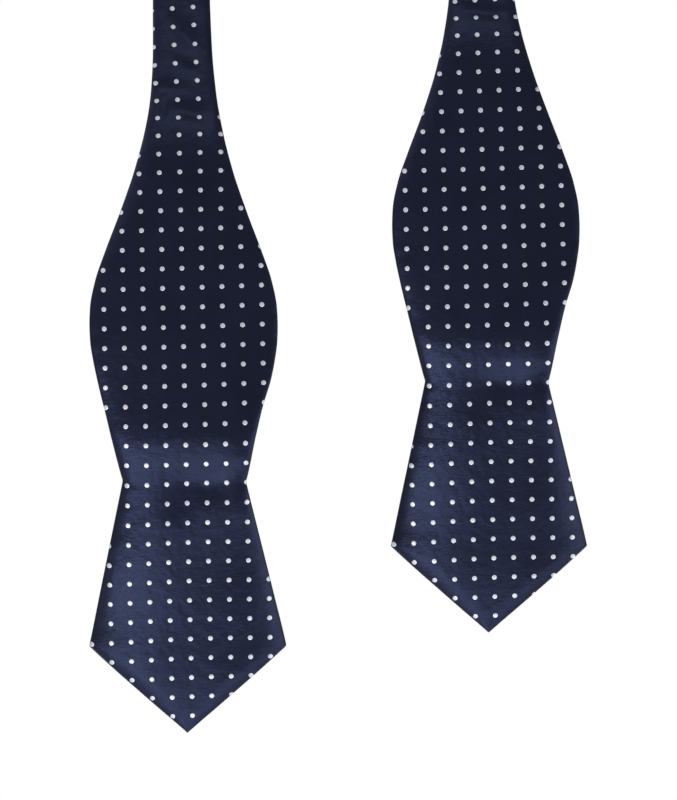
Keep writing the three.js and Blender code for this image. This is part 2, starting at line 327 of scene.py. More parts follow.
@dataclass(frozen=True)
class NeckRoute:
    """The way of a half's middle line round the neck and down the front."""

    cut: StripCut
    ring: RingSize
    cloth: ClothSize
    spacing: float = 97.1
    slope: float = 30
    evenness: float = 0.45
    spread: float = 10
    spread_start: float = 45
    spread_length: float = 40
    spread_end: float = 165
    roll_start: float = 60
    roll_length: float = 90
    drop_start: float = 92
    drop_length: float = 84
    neck_lean: float = 23
    slant: float = 1.2
    slant_start: float = 100
    slant_length: float = 60
    slant_end: float = 267
    step: float = 0.25
    tries: int = 8
    fold_steps: int = 64
    tail_steps: int = 60
    drift_curve: Curve = Curve((
        (0, 1.15), (0.115, 1.25), (0.187, 0.96), (0.249, 0.7), (0.336, 0.33), (0.402, 0), (0.44, 0),
        (0.477, 0.25), (0.53, 0.1), (0.6, 0),
    ))
    lean_curve: Curve = Curve((
        (0, -13), (0.05, -11), (0.115, -8), (0.15, -8.8), (0.2, -9), (0.3, -8), (0.33, -7), (0.37, -9),
        (0.385, -6), (0.4, -1), (0.415, 2), (0.44, 4), (0.65, 4), (0.71, 8), (0.76, 15), (0.805, 23),
        (0.825, 27), (0.86, 23), (1, 23),
    ))

    @property
    def fold_radius(self) -> float:
        """Radius of the middle line round a bar of the ring."""
        return self.ring.wire / 2 + self.ring.cloth_clearance + self.cloth.strip_thickness / 2

    @property
    def bar_reach(self) -> float:
        """Distance of each bar's line from the ring's middle."""
        return self.ring.fold_spacing / 2 + self.fold_radius + self.cloth.strip_thickness / 2

    def drift(self, from_tip: np.ndarray, from_ring: np.ndarray) -> np.ndarray:
        """How far a strip's middle stands to +X of its line.

        Args:
            from_tip: Distances from the tip.
            from_ring: The same places' distances from the ring.

        Returns:
            The drift at each place.
        """
        slanted = stretch(from_ring, self.slant_start, self.slant_end, self.slant_length)
        return self.drift_curve.at(np.asarray(from_tip, float) / self.cut.end_length) - self.slant * slanted

    def length(self, straight: float) -> float:
        """Length of a half from the ring to its tip.

        Args:
            straight: Length of its straight stretch of band.

        Returns:
            The length.
        """
        return self.drop_start + self.drop_length + straight + self.cut.end_length

    def axes(self, from_ring: np.ndarray, length: float, nape: float) -> tuple[np.ndarray, ...]:
        """The strip's directions along its way.

        Args:
            from_ring: Distances from the ring.
            length: The half's length.
            nape: Length of the quarter turn round the nape.

        Returns:
            Unit vectors, one row a distance: the way it runs, its outer normal and its width.
        """
        s = np.asarray(from_ring, float)
        d = length - s
        widening = stretch(s, self.spread_start, self.spread_end, self.spread_length)
        t = np.clip(s / nape, 0, 1)
        quarter = self.evenness * t + (1 - self.evenness) * rise(t, 0, 1)
        heading = np.radians(90 * quarter + self.spread * widening)
        roll = np.radians(90 * rise(s, self.roll_start, self.roll_length))
        full = 90 - self.slope
        lean = self.lean_curve.at(d / self.cut.end_length)
        falling = (full - self.neck_lean) * rise(s, self.drop_start, self.drop_length)
        dive = np.radians(np.where(d < self.cut.end_length, full - lean, falling))
        across = np.array([1, 0, 0])
        forward, up = loop_axes(self.slope)

        def mix(a: np.ndarray, p: np.ndarray, b: np.ndarray, q: np.ndarray) -> np.ndarray:
            return p[:, None] * a + q[:, None] * b

        level = mix(across, np.cos(heading), forward, np.sin(heading))
        outward = mix(across, np.sin(heading), forward, -np.cos(heading))
        run = mix(level, np.cos(dive), up, -np.sin(dive))
        lifted = mix(up, np.cos(dive), level, np.sin(dive))
        normal = mix(outward, np.cos(roll), lifted, np.sin(roll))
        width = mix(outward, np.sin(roll), lifted, -np.cos(roll))
        return run, normal, width

    def walk(self, straight: float) -> tuple[np.ndarray, ...]:
        """Walks the middle line from the ring to the tip, so that the end hangs at its place.

        Args:
            straight: Length of the straight stretch of band above the taper.

        Returns:
            Distances from the ring, places, and the strip's three directions at each.
        """
        length = self.length(straight)
        s = np.linspace(0, length, int(length / self.step) + 1)
        between = (s[:-1] + s[1:]) / 2
        nape = self.spacing / 2
        for _ in range(self.tries):
            run, normal, _ = self.axes(between, length, nape)
            raised = 2 * self.fold_radius + self.cloth.strip_thickness / 2
            start = np.array([self.bar_reach, 0, 0]) + normal[0] * raised
            place = start + np.concatenate([np.zeros((1, 3)), np.cumsum(run * np.diff(s)[:, None], axis=0)])
            nape *= 1 + (self.spacing / 2 - place[-1, 0]) / (self.spacing / 2 - self.bar_reach)
        return (s, place, *self.axes(s, length, nape))


class Strip:
    """The middle line of one half with its directions, from the tail behind the ring to the tip."""

    def __init__(self, route: NeckRoute, side: Side, straight: float) -> None:
        """Walks the line and puts the fold and the tail before it.

        Args:
            route: The way round the neck.
            side: The half.
            straight: Length of its straight stretch of band.
        """
        self.route = route
        self.side = side
        s, place, run, normal, width = route.walk(straight)
        self.length = float(s[-1])
        radius = route.fold_radius
        self.fold_length = math.pi * radius
        turn = np.linspace(math.pi, 0, route.fold_steps + 1)[:-1, None]
        folded = normal[0] * np.cos(turn) - run[0] * np.sin(turn)
        centre = place[0] - normal[0] * radius
        ring = route.ring
        tail = np.linspace(ring.tail_length, 0, route.tail_steps + 1)[:-1]
        settled = rise(tail, 0, ring.tail_ease * ring.tail_length)
        offset = 2 * radius + (route.cloth.strip_thickness + ring.tail_gap - 2 * radius) * settled
        beside, behind, level = (between_rows(tail, s, rows) for rows in (place, normal, width))
        self.s = np.concatenate([-self.fold_length - tail, -turn[:, 0] * radius, s])
        self.place = np.concatenate([beside - behind * offset[:, None], centre + folded * radius, place])
        self.normal = np.concatenate([-behind, folded, normal])
        self.width = np.concatenate([level, np.repeat(width[:1], len(turn), axis=0), width])

    @property
    def start(self) -> float:
        """Place of the tail's cut end, counted from the ring."""
        return float(self.s[0])

    def from_tip(self, s: np.ndarray) -> np.ndarray:
        """Turns distances from the ring into distances from the tip.

        Args:
            s: Distances from the ring.

        Returns:
            Distances from the tip, along the strip.
        """
        return self.length - np.asarray(s, float)

    def points(self, s: np.ndarray, x: np.ndarray, height: np.ndarray) -> np.ndarray:
        """Puts points of the flat strip where they hang.

        Args:
            s: Distances from the ring.
            x: Places across, from the middle line.
            height: Heights over the middle surface, to the front cloth's side.

        Returns:
            One row a point, in the row frame and in metres.
        """
        s, x, height = (np.asarray(v, float).ravel() for v in (s, x, height))
        held = (self.place, self.width, self.normal)
        place, width, normal = (between_rows(s, self.s, rows) for rows in held)
        sign = self.side.value
        across = x + sign * self.route.drift(self.from_tip(s), s)
        p = place + width * across[:, None] + normal * height[:, None]
        p[:, 0] *= sign
        return p * METRES


@dataclass(frozen=True)
class Wrinkle:
    """One soft wrinkle of a hanging end: a ridge, or a hollow if its height is negative."""

    from_tip: float
    across: float
    turn: float
    length: float
    width: float
    height: float

    def at(self, from_tip: np.ndarray, across: np.ndarray) -> np.ndarray:
        """The wrinkle's height at places of the cloth.

        Args:
            from_tip: Distances from the tip.
            across: Places to +X of the middle line.

        Returns:
            The height at each place.
        """
        a = math.radians(self.turn)
        u, v = across - self.across, from_tip - self.from_tip
        on, off = u * math.cos(a) + v * math.sin(a), v * math.cos(a) - u * math.sin(a)
        return self.height * np.exp(-((on / self.length) ** 2) - (off / self.width) ** 2)


@dataclass(frozen=True)
class Drape:
    """How the padded strip departs from a flat one."""

    bow: Curve = Curve((
        (0, 1 / 450), (20, 1 / 340), (34, 1 / 270), (62, 1 / 260), (80, 1 / 320), (96, 1 / 320),
        (112, 1 / 260), (170, 1 / 260), (230, 1 / 120),
    ))
    corner_curl: float = 3.6
    corner_width: float = 63.5
    curl_curve: Curve = Curve(((0, 0.4), (14.4, 0.6), (27.7, 0.9), (38, 1), (62, 1), (80, 0.4), (100, 0)))
    point_roll: float = 0.45
    point_roll_width: float = 9.5
    point_roll_share: Curve = Curve(((18, 1), (30, 0)))
    edge_curl: Curve = Curve((
        (62, 0.035), (78, 0.055), (98, 0.055), (112, 0.02), (150, 0.02), (172, 0.04), (195, 0.03),
        (215, 0.01),
    ))
    twist: Curve = Curve(((0, 1), (22, 1), (42, 0), (52, 0), (80, -4.5), (95, -5), (135, 0)))
    wrinkles: tuple[Wrinkle, ...] = ()
    padding: Ripple = Ripple(height=0.035, shortest=14, longest=34, seed=5)
    pucker: Ripple = Ripple(height=0.05, shortest=4, longest=9, seed=11)
    pucker_depth: float = 4

    def height(self, from_tip: np.ndarray, across: np.ndarray, half: np.ndarray) -> np.ndarray:
        """Height of the middle surface over the flat strip.

        Args:
            from_tip: Distances from the tip.
            across: Places to +X of the middle line.
            half: Half the strip's width there.

        Returns:
            The height at each place.
        """
        total = -0.5 * across**2 * self.bow.at(from_tip) + self.padding.at(across, from_tip)
        reach = np.abs(across / (self.corner_width / 2))
        total = total - self.corner_curl * self.curl_curve.at(from_tip) * reach**3
        total = total - self.edge_curl.at(from_tip) * half * (across / half) ** 6
        rolled = np.clip(1 - (half - np.abs(across)) / self.point_roll_width, 0, 1)
        total = total - self.point_roll * self.point_roll_share.at(from_tip) * rolled**2
        total = total - across * np.sin(np.radians(self.twist.at(from_tip)))
        for wrinkle in self.wrinkles:
            total = total + wrinkle.at(from_tip, across)
        return total

    def edge(self, from_tip: np.ndarray, inset: np.ndarray) -> np.ndarray:
        """The small waves along a sewn edge, which fade inwards.

        Args:
            from_tip: Distances from the tip.
            inset: Distances in from the edge.

        Returns:
            The height at each place.
        """
        return self.pucker.at(0 * inset, from_tip) * np.exp(-((inset / self.pucker_depth) ** 2))


@dataclass(frozen=True)
class DotLattice:
    """The woven dots, on a lattice that lies a little askew on the strip."""

    radius: float = 0.8
    row_step: tuple[float, float] = (6.33, 0.2)
    column_step: tuple[float, float] = (-0.14, 6.3)
    first: tuple[float, float] = (-0.79, 150.3)
    bend: Curve = Curve(((8, 0.0011), (30, 0.0016), (66, 0.0016), (78, 0.0009), (92, 0), (108, -0.0004)))
    tilt: Curve = Curve((
        (0, 0.018), (30, 0.01), (75, 0.01), (100, -0.002), (150, 0), (180, 0.01), (205, 0.02), (225, 0.05),
    ))
    spread: Curve = NO_CHANGE
    slip: Curve = NO_CHANGE
    creep: Curve = NO_CHANGE
    columns: int = 8
    overlap: float = 0.7
    rings: Rows = ((0.5, 0.1), (0.8, 0.085), (0.95, 0.05), (1.0, -0.05))
    crown: float = 0.105
    corners: int = 22
    tip_margin: float = 0.05
    end_margin: float = 0.02
    seam_margin: float = 0.03

    def centres(self, route: NeckRoute, length: float) -> np.ndarray:
        """The dots that lie on a strip.

        Args:
            route: The strip's way, whose drift the weave doesn't follow.
            length: Distance of the strip's far end from its tip.

        Returns:
            One row a dot: its place to +X of the middle line and its distance from the tip.
        """
        reach = int(length / self.column_step[1]) + 4
        i, j = np.meshgrid(np.arange(-self.columns, self.columns + 1), np.arange(-reach, reach + 1))
        x = self.first[0] + i * self.row_step[0] + j * self.column_step[0]
        d = self.first[1] + i * self.row_step[1] + j * self.column_step[1]
        d = d - self.bend.at(d) * x**2 + self.tilt.at(d) * x + self.creep.at(d)
        x = x * (1 + self.spread.at(d)) + self.slip.at(d)
        x = x - route.drift_curve.at(d / route.cut.end_length)
        half = route.cut.half_width(np.maximum(d, 0))
        inside = (d > 0) & (d < length) & (np.abs(x) < half + self.overlap * self.radius)
        return np.stack([x[inside], d[inside]], axis=1)


class MeshMaker:
    """Collects points, faces and places on the flat cloth, and makes one mesh object of them."""

    def __init__(self) -> None:
        """Starts empty."""
        self.points: list[np.ndarray] = []
        self.flat: list[np.ndarray] = []
        self.faces: list[tuple[int, ...]] = []
        self.count = 0

    def add(self, points: np.ndarray, flat: np.ndarray, faces: Sequence[Sequence[int]]) -> None:
        """Adds a shape.

        Args:
            points: Its points, in metres.
            flat: Each point's place on the flat cloth, in metres.
            faces: Its faces, as numbers of its points.
        """
        self.points.append(points)
        self.flat.append(flat)
        self.faces += [tuple(int(i) + self.count for i in face) for face in faces]
        self.count += len(points)

    def make(self, name: str, material: bpy.types.Material) -> bpy.types.Object:
        """Makes the object, smooth shaded and with its faces turned outwards as added.

        Args:
            name: The object's name.
            material: Its material.

        Returns:
            The object, linked into the scene.
        """
        mesh = bpy.data.meshes.new(name)
        mesh.from_pydata(np.concatenate(self.points).tolist(), [], self.faces)
        layer = mesh.uv_layers.new(name=CLOTH_UV)
        corner = np.zeros(len(mesh.loops), np.int32)
        mesh.loops.foreach_get("vertex_index", corner)
        layer.data.foreach_set("uv", np.concatenate(self.flat)[corner].astype(np.float32).ravel())
        mesh.polygons.foreach_set("use_smooth", np.ones(len(mesh.polygons), bool))
        mesh.materials.append(material)
        mesh.validate()
        obj = bpy.data.objects.new(name, mesh)
        bpy.context.scene.collection.objects.link(obj)
        return obj


def tube_faces(rows: int, columns: int, flip: bool, closed: bool = False) -> list[tuple[int, ...]]:
    """Faces that join rings of points into a tube.

    Args:
        rows: How many rings.
        columns: Points in each ring.
        flip: Turns the faces the other way.
        closed: Joins the last ring to the first, where a tube with ends gets two flat caps.

    Returns:
        The faces.
    """
    faces: list[tuple[int, ...]] = []
    for r in range(rows if closed else rows - 1):
        here, there = r * columns, (r + 1) % rows * columns
        for c in range(columns):
            n = (c + 1) % columns
            faces.append((here + c, here + n, there + n, there + c))
    if not closed:
        faces.append(tuple(range(columns))[::-1])
        faces.append(tuple(range((rows - 1) * columns, rows * columns)))
    return [face[::-1] for face in faces] if flip else faces


@dataclass(frozen=True)
class NodeKit:
    """Adds nodes and links to one node tree."""

    tree: bpy.types.NodeTree

    def node(self, kind: str, **settings: object) -> bpy.types.Node:
        """Adds a node.

        Args:
            kind: Its type.
            settings: Its own settings by name; a name that is one of its inputs, with spaces as
                underscores, sets that input.

        Returns:
            The node.
        """
        made = self.tree.nodes.new(kind)
        sockets = {s.name.replace(" ", "_"): s for s in made.inputs}
        for name, value in settings.items():
            if name in sockets:
                sockets[name].default_value = value
            else:
                setattr(made, name, value)
        return made

    def math(self, operation: str, *values: object) -> bpy.types.NodeSocket:
        """Adds a sum.

        Args:
            operation: The sum.
            values: A number, or the output that feeds it, for each input.

        Returns:
            The result.
        """
        made = self.node("ShaderNodeMath", operation=operation)
        for socket, value in zip(made.inputs, values):
            self.feed(value, socket)
        return made.outputs[0]

    def feed(self, value: object, socket: bpy.types.NodeSocket) -> None:
        """Links or sets an input.

        Args:
            value: The output that feeds it, or its number or colour; None leaves it as it is.
            socket: The input.
        """
        if isinstance(value, bpy.types.NodeSocket):
            self.tree.links.new(value, socket)
        elif value is not None:
            socket.default_value = value


class Effects:
    """The node groups for the effects that more than one material uses, each made once."""

    THREAD_SHIFT = 0.618  # how much later each thread dives than its neighbour, in floats
    FLAT_TOP = 0.25  # the power that keeps a float flat up to its ends
    SLUBS = (2600.0, 160.0)  # uneven spots in a metre, across and along
    SLUB_SHARE = 0.4
    LUSTRE_BAND = (0.3, 0.7)  # the noise that becomes fully dark and fully light

    def __init__(self) -> None:
        """Makes the groups."""
        self.threads = self.make_threads()
        self.lustre = self.make_lustre()

    @staticmethod
    def start(
        name: str, sizes: dict[str, float], results: tuple[str, ...]
    ) -> tuple[NodeKit, bpy.types.Node, bpy.types.Node]:
        """Makes a group that reads a place and some numbers, and gives numbers.

        Args:
            name: The group's name.
            sizes: The numbers that it reads, with their usual values.
            results: The numbers that it gives.
        """
        tree = bpy.data.node_groups.new(name, "ShaderNodeTree")
        tree.interface.new_socket(name="Place", in_out="INPUT", socket_type="NodeSocketVector")
        for size, value in sizes.items():
            socket = tree.interface.new_socket(name=size, in_out="INPUT", socket_type="NodeSocketFloat")
            socket.default_value = value
        for result in results:
            tree.interface.new_socket(name=result, in_out="OUTPUT", socket_type="NodeSocketFloat")
        kit = NodeKit(tree)
        return kit, kit.node("NodeGroupInput"), kit.node("NodeGroupOutput")

    def make_threads(self) -> bpy.types.NodeTree:
        """Long satin floats: fine threads that dive under a crossing thread now and then."""
        sizes = {"Pitch": 0.00022, "Float": 0.0018}
        kit, given, result = self.start("SatinThreads", sizes, ("Height", "Shade"))
        split = kit.node("ShaderNodeSeparateXYZ")
        kit.feed(given.outputs["Place"], split.inputs[0])
        across = kit.math("DIVIDE", split.outputs["X"], given.outputs["Pitch"])
        along = kit.math("DIVIDE", split.outputs["Y"], given.outputs["Float"])
        shift = kit.math("FRACT", kit.math("MULTIPLY", kit.math("FLOOR", across), self.THREAD_SHIFT))
        later = kit.math("FRACT", kit.math("ADD", along, shift))
        ridge = kit.math("SINE", kit.math("MULTIPLY", kit.math("FRACT", across), math.pi))
        dive = kit.math("SINE", kit.math("MULTIPLY", later, math.pi))
        height = kit.math("MULTIPLY", ridge, kit.math("POWER", dive, self.FLAT_TOP))
        slub = kit.node("ShaderNodeTexNoise", noise_dimensions="3D", Scale=1.0, Detail=2.0)
        join = kit.node("ShaderNodeCombineXYZ")
        for axis, scale, socket in zip("XY", self.SLUBS, join.inputs):
            kit.feed(kit.math("MULTIPLY", split.outputs[axis], scale), socket)
        kit.feed(join.outputs[0], slub.inputs["Vector"])
        uneven = kit.math("MULTIPLY", slub.outputs["Fac"], self.SLUB_SHARE)
        mixed = kit.math("ADD", kit.math("MULTIPLY", height, 1 - self.SLUB_SHARE), uneven)
        kit.feed(mixed, result.inputs["Height"])
        kit.feed(slub.outputs["Fac"], result.inputs["Shade"])
        return kit.tree

    def make_lustre(self) -> bpy.types.NodeTree:
        """Slow changes of tone and gloss over a cloth or a metal."""
        sizes = {"Size": 0.02, "Dark": 0.9, "Light": 1.1}
        kit, given, result = self.start("Lustre", sizes, ("Tone", "Fac"))
        scaled = kit.node("ShaderNodeVectorMath", operation="SCALE")
        kit.feed(given.outputs["Place"], scaled.inputs[0])
        kit.feed(kit.math("DIVIDE", 1.0, given.outputs["Size"]), scaled.inputs["Scale"])
        noise = kit.node("ShaderNodeTexNoise", noise_dimensions="3D", Scale=1.0, Detail=3.0, Roughness=0.55)
        kit.feed(scaled.outputs[0], noise.inputs["Vector"])
        spread = kit.node("ShaderNodeMapRange", interpolation_type="SMOOTHSTEP")
        low, high = self.LUSTRE_BAND
        ends = {"From Min": low, "From Max": high, "Value": noise.outputs["Fac"]}
        toned = {"To Min": given.outputs["Dark"], "To Max": given.outputs["Light"]}
        for name, value in {**ends, **toned}.items():
            kit.feed(value, spread.inputs[name])
        kit.feed(spread.outputs["Result"], result.inputs["Tone"])
        kit.feed(noise.outputs["Fac"], result.inputs["Fac"])
        return kit.tree


@dataclass(frozen=True)
class Paint(NodeKit):
    material: bpy.types.Material
    shader: bpy.types.Node

    def set(self, name: str, value: object) -> None:
        """Links or sets an input of the Principled node.

        Args:
            name: The input's name.
            value: The output that feeds it, or its number or colour.
        """
        self.feed(value, self.shader.inputs[name])

    def bump(
        self, height: bpy.types.NodeSocket, depth_m: float, under: bpy.types.NodeSocket | None = None
    ) -> bpy.types.NodeSocket:
        """Turns a height into a normal.

        Args:
            height: The height, from 0 to 1.
            depth_m: How deep 0 lies under 1, in metres.
            under: The normal of a coarser bump that this one lies on.

        Returns:
            The normal.
        """
        made = self.node("ShaderNodeBump", Strength=1.0, Distance=depth_m)
        self.feed(height, made.inputs["Height"])
        self.feed(under, made.inputs["Normal"])
        return made.outputs[0]

    def group(self, tree: bpy.types.NodeTree, place: bpy.types.NodeSocket, **sizes: float) -> bpy.types.Node:
        """Adds a node group.

        Args:
            tree: The group.
            place: The place that it reads.
            sizes: Its other inputs by name.

        Returns:
            The group's node.
        """
        made = self.node("ShaderNodeGroup", node_tree=tree)
        for name, value in {"Place": place, **sizes}.items():
            self.feed(value, made.inputs[name])
        return made

    def cloth(self, **mapping: tuple[float, float, float]) -> bpy.types.NodeSocket:
        """Reads the place on the flat cloth.

        Args:
            mapping: The Rotation or the Scale that it gets, if any.

        Returns:
            The place: metres on the cloth, times the scale.
        """
        flat = self.node("ShaderNodeUVMap", uv_map=CLOTH_UV).outputs[0]
        if not mapping:
            return flat
        mapped = self.node("ShaderNodeMapping", **mapping)
        self.feed(flat, mapped.inputs["Vector"])
        return mapped.outputs[0]


@dataclass(frozen=True)
class Finish:
    """What every finish has: its name, colour and gloss."""

    name: str
    colour: Rgb
    roughness: float

    def start(self) -> Paint:
        """Makes the material, still plain.

        Returns:
            The material in the making.
        """
        material = bpy.data.materials.new(self.name)
        material.use_nodes = True
        material.node_tree.nodes.clear()
        material.diffuse_color = (*self.colour, 1)
        kit = NodeKit(material.node_tree)
        shader = kit.node("ShaderNodeBsdfPrincipled", Roughness=self.roughness, Base_Color=(*self.colour, 1))
        kit.feed(shader.outputs[0], kit.node("ShaderNodeOutputMaterial").inputs["Surface"])
        return Paint(kit.tree, material, shader)

    def toned(self, paint: Paint, tone: bpy.types.NodeSocket) -> None:
        """Multiplies the base colour.

        Args:
            paint: The material in the making.
            tone: The factor, about 1.
        """
        scaled = paint.node("ShaderNodeVectorMath", operation="SCALE")
        scaled.inputs[0].default_value = self.colour
        paint.feed(tone, scaled.inputs["Scale"])
        paint.set("Base Color", scaled.outputs[0])

    def glossed(self, paint: Paint, spots: bpy.types.NodeSocket, change: float) -> None:
        """Makes the roughness uneven.

        Args:
            paint: The material in the making.
            spots: The unevenness, from 0 to 1.
            change: How far the roughness goes from its least to its most.
        """
        paint.set("Roughness", paint.math("MULTIPLY_ADD", spots, change, self.roughness - change / 2))


@dataclass(frozen=True)
class SatinFinish(Finish):
    """Dyed satin: dark in itself, with a coloured gleam, fine threads, faint ribs and shallow dimples."""

    gleam: Rgb = (0.36, 0.47, 1.0)
    gleam_level: float = 0.33
    lustre_m: float = 0.012
    tones: tuple[float, float] = (0.9, 1.1)
    shades: tuple[float, float] = (0.88, 0.24)
    gloss_change: float = 0.06
    thread_depth_m: float = 0.00002
    dimple_m: tuple[float, float] = (0.0035, 0.0035)
    dimple_depth_m: float = 0.00013
    rib_m: tuple[float, float] = (0.0022, 0.00065)
    rib_depth_m: float = 0.000035

    def material(self, effects: Effects) -> bpy.types.Material:
        """Makes the satin.

        Args:
            effects: The shared node groups.

        Returns:
            The material.
        """
        paint = self.start()
        dark, light = self.tones
        threads = paint.group(effects.threads, paint.cloth())
        lustre = paint.group(effects.lustre, paint.cloth(), Size=self.lustre_m, Dark=dark, Light=light)
        shade = paint.math("MULTIPLY_ADD", threads.outputs["Shade"], self.shades[1], self.shades[0])
        self.toned(paint, paint.math("MULTIPLY", lustre.outputs["Tone"], shade))
        self.glossed(paint, lustre.outputs["Fac"], self.gloss_change)
        paint.set("Specular IOR Level", self.gleam_level)
        paint.set("Specular Tint", (*self.gleam, 1))
        normal = None
        for size, depth in ((self.dimple_m, self.dimple_depth_m), (self.rib_m, self.rib_depth_m)):
            spots = paint.node("ShaderNodeTexNoise", noise_dimensions="2D", Scale=1.0, Detail=1.0)
            paint.feed(paint.cloth(Scale=(1 / size[0], 1 / size[1], 1)), spots.inputs["Vector"])
            normal = paint.bump(spots.outputs["Fac"], depth, normal)
        paint.set("Normal", paint.bump(threads.outputs["Height"], self.thread_depth_m, normal))
        return paint.material


@dataclass(frozen=True)
class DotFinish(Finish):
    """Pale silk of the woven dots, whose short floats make a slanting rib, painted darker in its grooves as
    painted shade; each dot is also painted lighter towards one side and towards the tip, a painted light and
    shade of its dome.
    """

    turn: float = 38
    rib_m: float = 0.0003
    float_m: float = 0.0009
    rib_depth_m: float = 0.00003
    # painted shade in the grooves: the tone at the bottom of the rib and how much lighter its top is
    rib_tones: tuple[float, float] = (0.78, 0.35)
    ior: float = 1.9
    # painted light and shade: how much each dot's tone rises a metre across and along its own flat place, so
    # one side of it is painted lighter
    lighter_in_a_metre: tuple[float, float] = (300, -80)

    def material(self, effects: Effects) -> bpy.types.Material:
        """Makes the dots' silk.

        Args:
            effects: The shared node groups.

        Returns:
            The material.
        """
        paint = self.start()
        place = paint.cloth(Rotation=(0, 0, math.radians(self.turn)))
        threads = paint.group(effects.threads, place, Pitch=self.rib_m, Float=self.float_m)
        # painted shade: darker where the rib's threads lie low
        tone = paint.math("MULTIPLY_ADD", threads.outputs["Height"], self.rib_tones[1], self.rib_tones[0])
        # painted light and shade across each dot: its tone grows lighter towards one side and towards the tip
        split = paint.node("ShaderNodeSeparateXYZ")
        paint.feed(paint.cloth(), split.inputs[0])
        for axis, lighter in zip("XY", self.lighter_in_a_metre):
            tone = paint.math("MULTIPLY_ADD", split.outputs[axis], lighter, tone)
        self.toned(paint, tone)
        paint.set("IOR", self.ior)
        paint.set("Specular IOR Level", 1.0)
        paint.set("Normal", paint.bump(threads.outputs["Height"], self.rib_depth_m))
        return paint.material


@dataclass(frozen=True)
class ThreadFinish(Finish):
    """Twisted sewing thread, painted darker in the grooves of its twist as painted shade."""

    turn: float = 55
    twist_m: float = 0.00035
    float_m: float = 0.003
    twist_depth_m: float = 0.00006
    # painted shade in the grooves: the tone at the bottom of the twist and how much lighter its top is
    twist_tones: tuple[float, float] = (0.7, 0.5)
    sheen: float = 0.3

    def material(self, effects: Effects) -> bpy.types.Material:
        """Makes the thread.

        Args:
            effects: The shared node groups.

        Returns:
            The material.
        """
        paint = self.start()
        place = paint.cloth(Rotation=(0, 0, math.radians(self.turn)))
        threads = paint.group(effects.threads, place, Pitch=self.twist_m, Float=self.float_m)
        # painted shade: darker where the twist lies low
        self.toned(paint, paint.math("MULTIPLY_ADD", threads.outputs["Height"], *self.twist_tones[::-1]))
        paint.set("Sheen Weight", self.sheen)
        paint.set("Normal", paint.bump(threads.outputs["Height"], self.twist_depth_m))
        return paint.material


@dataclass(frozen=True)
class MetalFinish(Finish):
    """Polished nickel, a little uneven in tone and gloss."""

    lustre_m: float = 0.0016
    tones: tuple[float, float] = (0.94, 1.04)
    gloss_change: float = 0.14
    depth_m: float = 0.00001

    def material(self, effects: Effects) -> bpy.types.Material:
        """Makes the metal.

        Args:
            effects: The shared node groups.

        Returns:
            The material.
        """
        paint = self.start()
        place = paint.node("ShaderNodeTexCoord").outputs["Object"]
        dark, light = self.tones
        lustre = paint.group(effects.lustre, place, Size=self.lustre_m, Dark=dark, Light=light)
        self.toned(paint, lustre.outputs["Tone"])
        self.glossed(paint, lustre.outputs["Fac"], self.gloss_change)
        paint.set("Metallic", 1.0)
        paint.set("Normal", paint.bump(lustre.outputs["Fac"], self.depth_m))
        return paint.material


@dataclass(frozen=True)
class Finishes:
    """The materials of the tie."""

    satin: bpy.types.Material
    dots: bpy.types.Material
    thread: bpy.types.Material
    metal: bpy.types.Material

    @classmethod
    def make(cls) -> "Finishes":
        """Makes every material of the tie."""
        effects = Effects()
        return cls(
            satin=SatinFinish("NavySatin", (0.0052, 0.0055, 0.0115), 0.29).material(effects),
            dots=DotFinish("DotSilk", (0.395, 0.405, 0.478), 0.3).material(effects),
            thread=ThreadFinish("NavyThread", (0.014, 0.016, 0.036), 0.6).material(effects),
            metal=MetalFinish("Nickel", (0.66, 0.65, 0.62), 0.2).material(effects),
        )


@dataclass(frozen=True)
class ClothGrid:
    """How finely a cloth's mesh is divided."""

    row: float = 1.25
    fine_row: float = 0.5
    fine_reach: float = 4
    tip_row: float = 0.1
    least_row: float = 0.04
    columns: int = 41
    roll_lines: int = 7
    round_lines: int = 3
    inner_columns: int = 9


